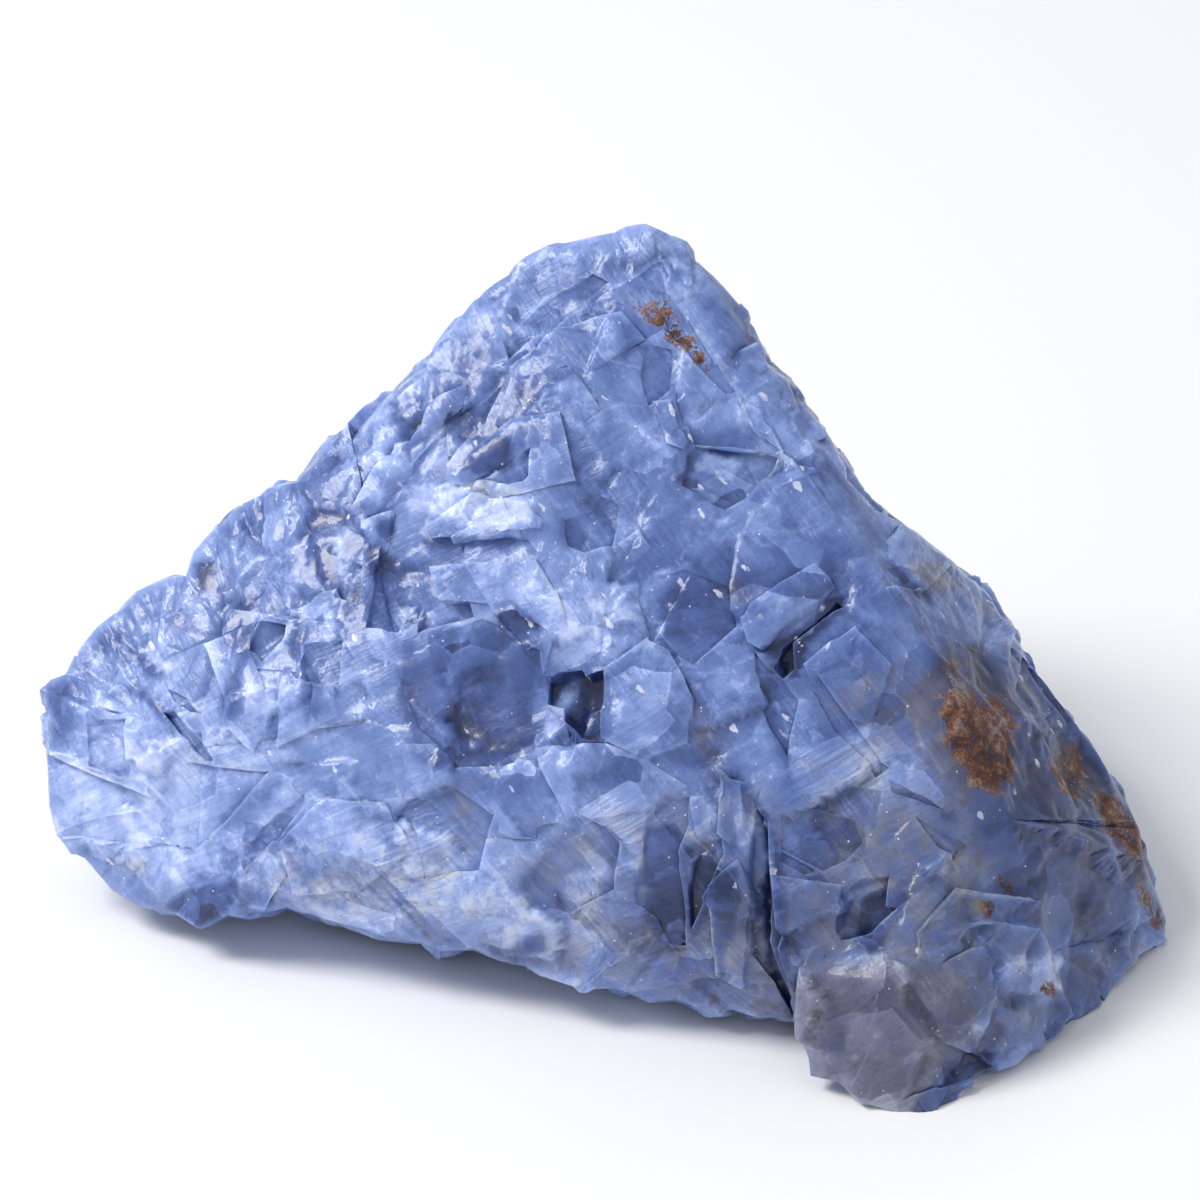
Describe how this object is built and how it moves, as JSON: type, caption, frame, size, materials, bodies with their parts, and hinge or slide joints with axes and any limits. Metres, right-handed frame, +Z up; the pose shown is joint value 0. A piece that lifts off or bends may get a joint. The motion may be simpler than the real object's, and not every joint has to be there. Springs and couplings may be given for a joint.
{
  "type": "rough blue calcite lump",
  "caption": "Hand-sized rough lump of massive blue calcite with a broken, stepped cleavage face, a blunt summit, a thick foot at one corner and a flat underside to rest on.",
  "frame": {"origin": "on the resting plane, under the middle of the stone's bounding box", "axes": "+Z up, +X to the right and along the stone's longest extent, +Y to the back, as the big broken side is faced"},
  "size_m": [0.1154, 0.0866, 0.0654],
  "materials": {
    "calcite": "broken cleavage, waxy to glassy, cloudy and translucent"
  },
  "bodies": {
    "root": {"blue_calcite": "calcite"}
  },
  "joints": []
}
